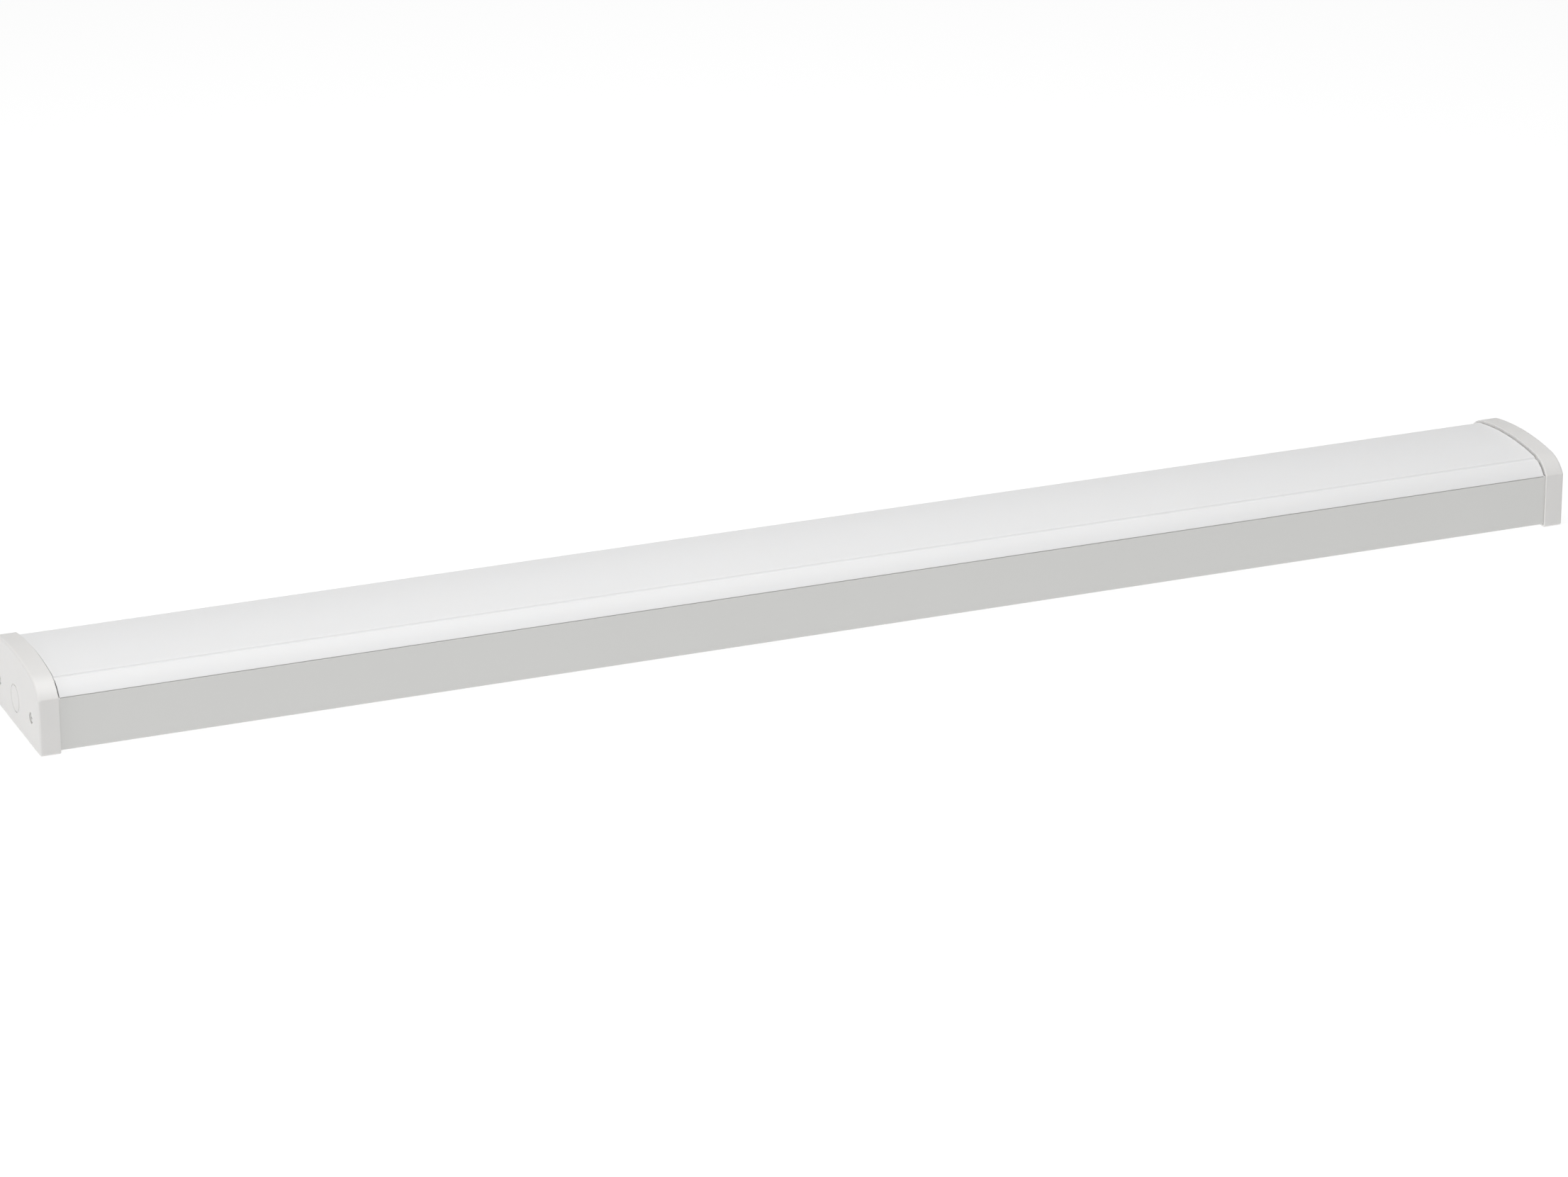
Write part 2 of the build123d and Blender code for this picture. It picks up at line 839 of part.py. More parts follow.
def supply_wire(block_y, driver_y):
    """Gentle double bend from a pole of the block to a terminal of the driver."""
    return wire(
        [
            (block_face_x, block_y, supply_hole_z),
            (block_face_x - mains_stub, block_y, supply_hole_z),
            (driver_face_x + mains_stub, driver_y, wire_entry_z),
            (driver_face_x, driver_y, wire_entry_z),
        ],
        mains_radius,
        mains_bend,
    )


with BuildPart() as wire_live:
    add(supply_wire(-pole_pitch, -input_wire_y))
with BuildPart() as wire_earth:
    add(supply_wire(0, 0))
with BuildPart() as wire_neutral:
    add(supply_wire(pole_pitch, input_wire_y))

tag_barrel_z = floor_z + tag_barrel_radius
tag_barrel_y = earth_y - tag_reach
bond_route = [
    (block_face_x, 0, bond_hole_z),
    (block_face_x - bond_stub, 0, bond_hole_z),
    (earth_x, bond_turn_y, bond_hole_z + bond_rise),
    (earth_x, bond_drop_y, tag_barrel_z + bond_rise),
    (earth_x, tag_barrel_y - tag_radius, tag_barrel_z),
    (earth_x, tag_barrel_y, tag_barrel_z),
]
with BuildPart() as earth_bond_wire:
    add(wire(bond_route, mains_radius, bond_bend))

with BuildPart() as earth_tag:
    with BuildSketch(Plane.XY.offset(floor_z)):
        with Locations((earth_x, earth_y)):
            Circle(tag_radius)
            Rectangle(
                tag_neck_width, tag_reach - tag_barrel_length / 2, align=(Align.CENTER, Align.MAX)
            )
            Circle(earth_shank + thread_gap, mode=Mode.SUBTRACT)
    extrude(amount=sheet)
    with BuildSketch(Plane.XZ.offset(-tag_barrel_y)):
        with Locations((earth_x, tag_barrel_z)):
            Circle(tag_barrel_radius)
    extrude(amount=-tag_barrel_length)

with BuildPart() as earth_washer:
    with BuildSketch(Plane.XY.offset(driver_floor)):
        with Locations((earth_x, earth_y)):
            Circle(tag_radius)
            Circle(earth_shank + thread_gap, mode=Mode.SUBTRACT)
    extrude(amount=sheet)

earth_screw_seat = driver_floor + sheet
with BuildPart() as earth_screw:
    add(
        screw(
            Plane(origin=(earth_x, earth_y, earth_screw_seat)), earth_shank, 2 * sheet + screw_bite
        )
    )

# LED wires from the driver up through the gear tray to the first pair of boards
led_wire_floor = floor_z + wire_clip_wall + led_wire_radius
output_face_x = driver_x - driver_half + terminal_end_gap
connector_face_y = board_y - connector_width / 2


def led_wire(side, run_y, rise_x):
    """From the driver's output along the floor, up through the tray and out to one board."""
    y = side * run_y
    return wire(
        [
            (output_face_x, y, wire_entry_z),
            (output_face_x - mains_stub, y, wire_entry_z),
            (output_face_x - 2.4 * mains_stub, y, led_wire_floor),
            (-rise_x, y, led_wire_floor),
            (-rise_x, y, connector_wire_z),
            (-rise_x, side * connector_face_y, connector_wire_z),
        ],
        led_wire_radius,
        led_wire_bend,
    )


positive_x = supply_connector_x - led_wire_spacing / 2
negative_x = supply_connector_x + led_wire_spacing / 2
positive_runs = [led_wire(side, positive_run_y, positive_x) for side in (-1, 1)]
negative_runs = [led_wire(side, negative_run_y, negative_x) for side in (-1, 1)]
with BuildPart() as led_wires_positive:
    add(positive_runs)
with BuildPart() as led_wires_negative:
    add(negative_runs)

with BuildPart() as wire_clip:
    with BuildSketch(across.offset(wire_clip_x)):
        with Locations((0, floor_z)):
            Rectangle(wire_clip_foot, wire_clip_wall, align=(Align.CENTER, Align.MIN))
            Rectangle(wire_clip_width, wire_clip_height, align=(Align.CENTER, Align.MIN))
        with Locations((0, floor_z + wire_clip_wall)):
            Rectangle(
                wire_clip_inside,
                wire_clip_room,
                align=(Align.CENTER, Align.MIN),
                mode=Mode.SUBTRACT,
            )
    extrude(amount=wire_clip_length / 2, both=True)
clip_parts = [Pos(side * wire_clip_spacing / 2, 0, 0) * wire_clip.part for side in (-1, 1)]
with BuildPart() as wire_clips:
    add(clip_parts)

# Cable grommet in the rear entry, and plugs in the spare ones
grommet_low = base_z - grommet_below
grommet_high = floor_z + grommet_above
flange_radius = entry_radius + grommet_flange
with BuildPart() as cable_grommet:
    with BuildSketch(Plane.XZ):
        with BuildLine():
            Polyline(
                (grommet_bore, grommet_low),
                (flange_radius - grommet_rim, grommet_low),
                (flange_radius, grommet_low + grommet_rim),
                (flange_radius, base_z),
                (entry_radius - entry_fit, base_z),
                (entry_radius - entry_fit, floor_z),
                (flange_radius, floor_z),
                (flange_radius - grommet_rim, floor_z + grommet_shoulder),
                (grommet_bore + grommet_flange, grommet_high),
                (grommet_bore, grommet_high),
                close=True,
            )
        make_face()
    revolve(axis=Axis.Z)

with BuildPart() as blanking_plug:
    with BuildSketch(Plane.XY.offset(base_z - plug_head)):
        Circle(entry_radius + plug_head_lap)
    extrude(amount=plug_head)
    fillet(blanking_plug.edges().sort_by(Axis.Z)[0], plug_edge)
    with BuildSketch(Plane.XY.offset(base_z)):
        Circle(entry_radius - entry_fit)
        Circle(entry_radius - plug_wall, mode=Mode.SUBTRACT)
    extrude(amount=plug_depth)
    with BuildSketch(Plane.XY.offset(floor_z + entry_fit)):
        Circle(entry_radius + plug_barb)
        Circle(entry_radius - plug_wall, mode=Mode.SUBTRACT)
    extrude(amount=plug_barb_height, taper=30)
plug_parts = [Pos(side * spare_entry_x, 0, 0) * blanking_plug.part for side in (-1, 1)]
with BuildPart() as blanking_plugs:
    add(plug_parts)


# Diffuser clips: spring-steel saddles over the tray's returns
def diffuser_clip_row(side):
    """Four clips on one side. side is -1 for the front and 1 for the rear."""
    outer = flange_y + sheet + clip_gap
    inner = flange_y - clip_gap
    low = wall_top - return_depth - clip_gap
    skin = [
        (side * outer, low + clip_outer_height),
        (side * outer, low),
        (side * inner, low),
        (side * inner, low + clip_inner_height),
        (side * (inner - clip_bump), low + clip_bump_height),
        (side * (inner - clip_tip), low + clip_tip_height),
    ]
    with BuildSketch() as section:
        with BuildLine():
            FilletPolyline(*skin, radius=clip_bend)
            offset(amount=clip_sheet, side=Side.LEFT if side < 0 else Side.RIGHT)
        make_face()
    with BuildPart() as row:
        for x in clip_spots:
            with BuildSketch(across.offset(x)):
                add(section.sketch)
            extrude(amount=clip_half_length, both=True)
    return row


diffuser_clips_front = diffuser_clip_row(-1)
diffuser_clips_rear = diffuser_clip_row(1)

# Diffuser: domed extrusion with a groove along each shoulder and two hidden legs
diffuser_half = half_length - cap_lip - diffuser_end_gap
groove_angle = math.radians(groove_slope)
groove_reach = shoulder_radius + groove_radius - groove_depth
groove_y = shoulder_y + groove_reach * math.sin(groove_angle)
groove_z = shoulder_z + groove_reach * math.cos(groove_angle)
with BuildPart() as diffuser:
    with BuildSketch(across):
        add(dome_section(0))
        add(dome_section(diffuser_wall), mode=Mode.SUBTRACT)
        with Locations((0, wall_top + running_gap)):
            Rectangle(
                body_width, wall_height, align=(Align.CENTER, Align.MAX), mode=Mode.SUBTRACT
            )
        with Locations((0, leg_bottom)):
            with GridLocations(2 * leg_outer_y - leg_wall, 0, 2, 1):
                Rectangle(leg_wall, overall_height, align=(Align.CENTER, Align.MIN))
        add(body_section.sketch, mode=Mode.INTERSECT)
        with Locations((-groove_y, groove_z), (groove_y, groove_z)):
            Circle(groove_radius, mode=Mode.SUBTRACT)
    extrude(amount=diffuser_half, both=True)
    feet = diffuser.faces().filter_by(Axis.Z).group_by(Axis.Z)[0].edges().filter_by(Axis.X)
    fillet(feet, leg_edge)


# End caps: a shell that sleeves over the tray, with a ring and tongue behind the diffuser's end
def end_cap(end):
    """One moulded cap, built inwards from its outer face."""
    boss_length = half_length - end_plate_x - running_gap - cap_wall
    ring_floor = wall_top + 2 * running_gap
    tongue_top = diffuser_wall + tongue_gap
    with BuildPart() as cap:
        with BuildSketch(end):
            add(body_section.sketch)
            offset(amount=cap_proud)
        extrude(amount=cap_lip)
        outer_face, rim_face = cap.faces().filter_by(end).sort_by_distance(end.origin)
        fillet(outer_face.edges(), cap_face_edge)
        fillet(rim_face.edges(), cap_rim_edge)
        with BuildSketch(end.offset(cap_wall)):
            add(body_section.sketch)
            offset(amount=cap_fit)
        extrude(amount=cap_lip, mode=Mode.SUBTRACT)
        with BuildSketch(end.offset(cap_lip - lip_ring)):
            add(dome_section(-cap_fit - tongue_gap))
            add(dome_section(tongue_top + tongue_wall), mode=Mode.SUBTRACT)
            with Locations((0, ring_floor)):
                Rectangle(
                    2 * body_width, wall_height, align=(Align.CENTER, Align.MAX), mode=Mode.SUBTRACT
                )
        extrude(amount=lip_ring)
        with BuildSketch(end.offset(cap_lip)):
            add(dome_section(tongue_top))
            add(dome_section(tongue_top + tongue_wall), mode=Mode.SUBTRACT)
            with Locations((0, ring_floor)):
                Rectangle(
                    2 * tongue_half_width,
                    overall_height,
                    align=(Align.CENTER, Align.MIN),
                    mode=Mode.INTERSECT,
                )
        extrude(amount=tongue_length)
        screw_spots = [(-cap_screw_y, cap_screw_z), (cap_screw_y, cap_screw_z)]
        with BuildSketch(end.offset(cap_wall)):
            with Locations(screw_spots):
                Circle(cap_boss_radius)
        extrude(amount=boss_length)
        with BuildSketch(end):
            with Locations(screw_spots):
                Circle(counterbore_radius)
        extrude(amount=cap_wall, mode=Mode.SUBTRACT)
        with BuildSketch(end):
            with Locations(screw_spots):
                Circle(cap_shank + running_gap)
        extrude(amount=cap_wall + boss_length, mode=Mode.SUBTRACT)
        # Groove around the cable knock-out
        with BuildSketch(end):
            with Locations((0, cap_screw_z)):
                Circle(entry_radius + knockout_groove / 2)
                Circle(entry_radius - knockout_groove / 2, mode=Mode.SUBTRACT)
        extrude(amount=knockout_depth, mode=Mode.SUBTRACT)
    return cap


end_cap_left = end_cap(left_end)
end_cap_right = end_cap(right_end)


def cap_screws(end):
    """The two screws of one cap, their heads just below its outer face."""
    seat = end.offset(cap_wall)
    parts = []
    for y in (-cap_screw_y, cap_screw_y):
        centre = seat.from_local_coords((y, cap_screw_z, 0))
        outwards = Plane(origin=centre, x_dir=(0, 1, 0), z_dir=-end.z_dir)
        parts.append(screw(outwards, cap_shank, cap_screw_length))
    with BuildPart() as pair:
        add(parts)
    return pair


end_cap_screws_left = cap_screws(left_end)
end_cap_screws_right = cap_screws(right_end)


# Latches: quarter-turn fasteners from the gear tray into the brackets
def tray_latch(x):
    """Locked with the wing along X, across the bracket's slot."""
    wing_low = gear_bottom - bracket_sheet - running_gap - latch_wing_height
    disc_low = gear_z + latch_lift
    with BuildPart() as latch:
        with BuildSketch(Plane.XY.offset(disc_low)):
            with Locations((x, 0)):
                Circle(latch_disc_radius)
        extrude(amount=latch_disc_height)
        with BuildSketch(Plane.XY.offset(disc_low + latch_disc_height)):
            with Locations((x, 0)):
                SlotOverall(latch_grip_length, latch_grip_width)
        extrude(amount=latch_grip_height)
        fillet(latch.faces().sort_by(Axis.Z)[-1].edges(), latch_edge)
        with BuildSketch(Plane.XY.offset(wing_low)):
            with Locations((x, 0)):
                Circle(latch_shaft)
        extrude(amount=disc_low - wing_low)
        with BuildSketch(Plane.XY.offset(wing_low)):
            with Locations((x, 0)):
                SlotOverall(latch_wing_length, latch_wing_width)
        extrude(amount=latch_wing_height)
    return latch


tray_latch_left = tray_latch(-latch_x)
tray_latch_right = tray_latch(latch_x)

pieces = {
    "housing_tray": housing_tray,
    "end_plate_left": end_plate_left,
    "end_plate_right": end_plate_right,
    "end_plate_rivets": end_plate_rivets,
    "tray_bracket_left": tray_bracket_left,
    "tray_bracket_right": tray_bracket_right,
    "bracket_rivets": bracket_rivets,
    "gear_tray": gear_tray,
    "led_board_front_left": led_board_front_left,
    "led_board_front_right": led_board_front_right,
    "led_board_rear_left": led_board_rear_left,
    "led_board_rear_right": led_board_rear_right,
    "led_packages_front_left": led_packages_front_left,
    "led_packages_front_right": led_packages_front_right,
    "led_packages_rear_left": led_packages_rear_left,
    "led_packages_rear_right": led_packages_rear_right,
    "board_connectors": board_connectors,
    "board_screws": board_screws,
    "board_link_wires": board_link_wires,
    "driver_base": driver_base,
    "driver_cover": driver_cover,
    "driver_circuit_board": driver_circuit_board,
    "driver_transformer": driver_transformer,
    "driver_capacitors": driver_capacitors,
    "driver_terminals": driver_terminals,
    "driver_screws": driver_screws,
    "terminal_block": terminal_block,
    "terminal_clamps": terminal_clamps,
    "terminal_block_screws": terminal_block_screws,
    "release_button_live": release_button_live,
    "release_button_earth": release_button_earth,
    "release_button_neutral": release_button_neutral,
    "wire_live": wire_live,
    "wire_earth": wire_earth,
    "wire_neutral": wire_neutral,
    "earth_bond_wire": earth_bond_wire,
    "earth_tag": earth_tag,
    "earth_washer": earth_washer,
    "earth_screw": earth_screw,
    "led_wires_positive": led_wires_positive,
    "led_wires_negative": led_wires_negative,
    "wire_clips": wire_clips,
    "cable_grommet": cable_grommet,
    "blanking_plugs": blanking_plugs,
    "diffuser_clips_front": diffuser_clips_front,
    "diffuser_clips_rear": diffuser_clips_rear,
    "diffuser": diffuser,
    "end_cap_left": end_cap_left,
    "end_cap_right": end_cap_right,
    "end_cap_screws_left": end_cap_screws_left,
    "end_cap_screws_right": end_cap_screws_right,
    "tray_latch_left": tray_latch_left,
    "tray_latch_right": tray_latch_right,
}

os.makedirs("parts", exist_ok=True)
for name, piece in pieces.items():
    piece.part.label = name
    export_step(piece.part, f"parts/{name}.step")
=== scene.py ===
"""Looks of the LED batten: procedural finishes, and the small pieces that its CAD solids leave out.

Lengths are in metres in the part's own frame: X along the batten, Y across it with the front at -Y,
and Z from the mounting back out through the diffuser.
"""

import json
import math

import bmesh
import bpy
from mathutils import Matrix, Vector


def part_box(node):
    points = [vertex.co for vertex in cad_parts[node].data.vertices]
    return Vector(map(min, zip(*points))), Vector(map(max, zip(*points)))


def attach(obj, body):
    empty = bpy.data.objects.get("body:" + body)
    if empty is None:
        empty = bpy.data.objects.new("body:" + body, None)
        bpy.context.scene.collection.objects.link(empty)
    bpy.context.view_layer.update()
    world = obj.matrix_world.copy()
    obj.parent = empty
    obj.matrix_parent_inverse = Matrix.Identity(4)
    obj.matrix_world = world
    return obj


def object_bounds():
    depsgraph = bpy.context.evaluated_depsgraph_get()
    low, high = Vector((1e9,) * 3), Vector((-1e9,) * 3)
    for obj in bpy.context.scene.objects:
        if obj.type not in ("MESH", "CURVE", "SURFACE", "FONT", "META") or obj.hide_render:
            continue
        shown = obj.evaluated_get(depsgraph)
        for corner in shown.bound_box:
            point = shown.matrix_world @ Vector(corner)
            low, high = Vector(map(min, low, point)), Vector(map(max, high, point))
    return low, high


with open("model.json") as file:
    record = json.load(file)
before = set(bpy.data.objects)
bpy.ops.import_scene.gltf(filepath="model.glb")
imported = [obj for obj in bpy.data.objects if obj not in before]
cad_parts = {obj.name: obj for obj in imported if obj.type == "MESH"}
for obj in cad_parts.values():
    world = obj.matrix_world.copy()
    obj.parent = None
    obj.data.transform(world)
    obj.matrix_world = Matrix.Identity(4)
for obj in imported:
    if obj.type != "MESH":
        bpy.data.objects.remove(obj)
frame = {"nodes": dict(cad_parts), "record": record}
cad_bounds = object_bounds()
record = frame["record"]
colours = {entry["slot"]: tuple(entry["base_color"][:3]) for entry in record["materials"]}

MM = 0.001


# Finishes


class Finish:
    """One procedural material: a Principled shader and the textures that feed it."""

    def __init__(self, slot, roughness, metallic=0.0):
        self.material = bpy.data.materials.new(slot)
        self.material.use_nodes = True
        self.tree = self.material.node_tree
        self.tree.nodes.clear()
        output = self.tree.nodes.new("ShaderNodeOutputMaterial")
        self.shader = self.tree.nodes.new("ShaderNodeBsdfPrincipled")
        self.link(self.shader.outputs["BSDF"], output.inputs["Surface"])
        self.colour = colours[slot]
        self.set("Base Color", (*self.colour, 1.0))
        self.set("Roughness", roughness)
        self.set("Metallic", metallic)
        place = self.tree.nodes.new("ShaderNodeTexCoord")
        self.place = place.outputs["Object"]
        self.facing = place.outputs["Normal"]
        self.relief = None

    def set(self, socket, value):
        self.shader.inputs[socket].default_value = value

    def link(self, source, target):
        self.tree.links.new(source, target)

    def noise(self, size, stretch=(1, 1, 1), detail=2.0, seed=0.0):
        """Noise whose features are about `size` metres wide, longer along the stretched axes."""
        mapping = self.tree.nodes.new("ShaderNodeMapping")
        mapping.inputs["Location"].default_value = (seed, seed, seed)
        mapping.inputs["Scale"].default_value = [1 / (size * factor) for factor in stretch]
        self.link(self.place, mapping.inputs["Vector"])
        noise = self.tree.nodes.new("ShaderNodeTexNoise")
        noise.inputs["Scale"].default_value = 1.0
        noise.inputs["Detail"].default_value = detail
        self.link(mapping.outputs["Vector"], noise.inputs["Vector"])
        return noise.outputs["Fac"]

    def cells(self, size, seed=0.0):
        """Distance to the middle of rounded cells about `size` metres wide."""
        mapping = self.tree.nodes.new("ShaderNodeMapping")
        mapping.inputs["Location"].default_value = (seed, seed, seed)
        mapping.inputs["Scale"].default_value = [1 / size] * 3
        self.link(self.place, mapping.inputs["Vector"])
        cells = self.tree.nodes.new("ShaderNodeTexVoronoi")
        cells.inputs["Scale"].default_value = 1.0
        self.link(mapping.outputs["Vector"], cells.inputs["Vector"])
        return cells.outputs["Distance"]

    def between(self, factor, low, high, start=0.0, end=1.0):
        """A number that goes from low to high as the factor goes from start to end."""
        remap = self.tree.nodes.new("ShaderNodeMapRange")
        remap.inputs["From Min"].default_value = start
        remap.inputs["From Max"].default_value = end
        remap.inputs["To Min"].default_value = low
        remap.inputs["To Max"].default_value = high
        self.link(factor, remap.inputs["Value"])
        return remap.outputs["Result"]

    def axis(self, vector, name):
        """One coordinate of a vector."""
        split = self.tree.nodes.new("ShaderNodeSeparateXYZ")
        self.link(vector, split.inputs["Vector"])
        return split.outputs[name]

    def mixed(self, factor, first, second):
        """A colour between two colours; each is a socket or three numbers."""
        mix = self.tree.nodes.new("ShaderNodeMix")
        mix.data_type = "RGBA"
        self.link(factor, mix.inputs["Factor"])
        for socket, colour in ((mix.inputs[6], first), (mix.inputs[7], second)):
            if isinstance(colour, bpy.types.NodeSocket):
                self.link(colour, socket)
            else:
                socket.default_value = (*colour, 1.0)
        return mix.outputs[2]

    def paint(self, colour):
        self.link(colour, self.shader.inputs["Base Color"])

    def mottle(self, size, depth, stretch=(1, 1, 1), seed=0.0):
        """Lets the base colour wander by `depth` either side of itself."""
        low = [max(0.0, part * (1 - depth)) for part in self.colour]
        high = [min(1.0, part * (1 + depth)) for part in self.colour]
        colour = self.mixed(self.noise(size, stretch, 3.0, seed), low, high)
        self.paint(colour)
        return colour

    def gloss(self, factor, low, high):
        self.link(self.between(factor, low, high), self.shader.inputs["Roughness"])

    def emboss(self, height, depth, strength=1.0):
        """Adds relief of `depth` metres on top of any already there."""
        bump = self.tree.nodes.new("ShaderNodeBump")
        bump.inputs["Strength"].default_value = strength
        bump.inputs["Distance"].default_value = depth
        self.link(height, bump.inputs["Height"])
        if self.relief:
            self.link(self.relief, bump.inputs["Normal"])
        self.relief = bump.outputs["Normal"]
        self.link(self.relief, self.shader.inputs["Normal"])


def powder_coat(slot, peel=1.8 * MM, depth=0.02 * MM, low=0.34, high=0.46):
    """Baked powder paint: a soft orange peel over fine grain."""
    finish = Finish(slot, high)
    finish.mottle(60 * MM, 0.012)
    finish.gloss(finish.noise(9 * MM), low, high)
    finish.emboss(finish.noise(peel, detail=1.0), depth)
    finish.emboss(finish.noise(0.35 * MM, detail=2.0, seed=3.0), depth / 8)
    return finish


def rolled_metal(slot, low, high, along=(14, 1, 1), streak=0.5 * MM):
    """Bare or plated metal with rolling marks along one axis."""
    finish = Finish(slot, high, metallic=1.0)
    finish.mottle(14 * MM, 0.10)
    streaks = finish.noise(streak, along, 4.0)
    finish.gloss(streaks, low, high)
    finish.emboss(streaks, 0.004 * MM)
    finish.emboss(finish.noise(3 * MM, seed=5.0), 0.01 * MM)
    return finish


def moulding(slot, grain=0.30 * MM, depth=0.012 * MM, low=0.42, high=0.55, milky=0.0):
    """Moulded plastic with a fine spark-eroded grain."""
    finish = Finish(slot, high)
    finish.mottle(25 * MM, 0.015)
    finish.gloss(finish.noise(6 * MM), low, high)
    finish.emboss(finish.cells(grain), depth)
    finish.emboss(finish.noise(8 * MM, seed=2.0), 0.02 * MM)
    if milky:
        finish.set("Subsurface Weight", milky)
        finish.set("Subsurface Radius", (1.0, 0.9, 0.8))
        finish.set("Subsurface Scale", 1.5 * MM)
    return finish


def opal_sheet(slot):
    """Extruded opal polycarbonate: milky, satin, with faint draw lines along the batten."""
    finish = Finish(slot, 0.5)
    finish.mottle(90 * MM, 0.008, stretch=(4, 1, 1))
    draw_lines = finish.noise(1.4 * MM, (400, 1, 1), 3.0)
    finish.gloss(draw_lines, 0.54, 0.66)
    finish.emboss(draw_lines, 0.006 * MM)
    finish.emboss(finish.noise(0.25 * MM, seed=4.0), 0.002 * MM)
    finish.set("Subsurface Weight", 0.35)
    finish.set("Subsurface Radius", (1.0, 0.97, 0.92))
    finish.set("Subsurface Scale", 1.6 * MM)
    finish.set("IOR", 1.58)
    return finish


def insulation(slot):
    """Extruded PVC sleeve: soft gloss with tiny lumps."""
    finish = Finish(slot, 0.38)
    finish.mottle(5 * MM, 0.06)
    finish.gloss(finish.noise(2 * MM), 0.30, 0.46)
    finish.emboss(finish.noise(0.8 * MM), 0.01 * MM)
    return finish


def striped_insulation(slot):
    """Green sleeve with yellow stripes down its length."""
    finish = insulation(slot)
    across = finish.tree.nodes.new("ShaderNodeVectorMath")
    across.operation = "DOT_PRODUCT"
    across.inputs[1].default_value = Vector((0.35, 0.62, 0.70)).normalized()
    finish.link(finish.facing, across.inputs[0])
    fold = finish.tree.nodes.new("ShaderNodeMath")
    fold.operation = "ABSOLUTE"
    finish.link(across.outputs["Value"], fold.inputs[0])
    stripe = finish.between(fold.outputs[0], 1.0, 0.0, 0.34, 0.40)
    finish.paint(finish.mixed(stripe, (0.03, 0.26, 0.06), (0.80, 0.62, 0.03)))
    return finish


def rubber(slot):
    """Matt rubber with a dry bloom on it."""
    finish = Finish(slot, 0.75)
    finish.mottle(4 * MM, 0.35)
    finish.gloss(finish.noise(3 * MM), 0.62, 0.85)
    finish.emboss(finish.noise(0.5 * MM), 0.03 * MM)
    return finish


def solder_mask(slot, weave=0.0):
    """Printed mask on a board, smooth, over a faint glass weave if the board has one."""
    finish = Finish(slot, 0.34)
    finish.mottle(12 * MM, 0.03)
    finish.gloss(finish.noise(4 * MM), 0.28, 0.42)
    finish.emboss(finish.noise(0.6 * MM, detail=3.0), 0.006 * MM)
    if weave:
        finish.emboss(finish.cells(weave), 0.01 * MM)
    return finish


def phosphor(slot):
    """Silicone loaded with phosphor grains."""
    finish = Finish(slot, 0.4)
    grains = finish.noise(0.12 * MM, detail=4.0)
    finish.paint(finish.mixed(grains, (0.72, 0.42, 0.05), (0.95, 0.78, 0.22)))
    finish.gloss(finish.noise(0.5 * MM), 0.30, 0.50)
    finish.emboss(grains, 0.01 * MM)
    return finish


def banded(slot, edges, band):
    """A dark part with a second colour between two heights, such as tape round a core."""
    finish = Finish(slot, 0.5)
    height = finish.axis(finish.place, "Z")
    above = finish.between(height, 0.0, 1.0, edges[0], edges[0] + 0.05 * MM)
    below = finish.between(height, 1.0, 0.0, edges[1] - 0.05 * MM, edges[1])
    both = finish.tree.nodes.new("ShaderNodeMath")
    both.operation = "MULTIPLY"
    finish.link(above, both.inputs[0])
    finish.link(below, both.inputs[1])
    grain = finish.mottle(1.5 * MM, 0.2)
    finish.paint(finish.mixed(both.outputs[0], grain, band))
    finish.gloss(finish.noise(1.2 * MM), 0.32, 0.6)
    finish.emboss(finish.noise(0.3 * MM, (1, 1, 0.4)), 0.02 * MM)
    return finish


transformer_low, transformer_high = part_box("driver_transformer")
capacitor_low, capacitor_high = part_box("driver_capacitors")
core_thickness = 3 * MM
can_end = 0.9 * MM

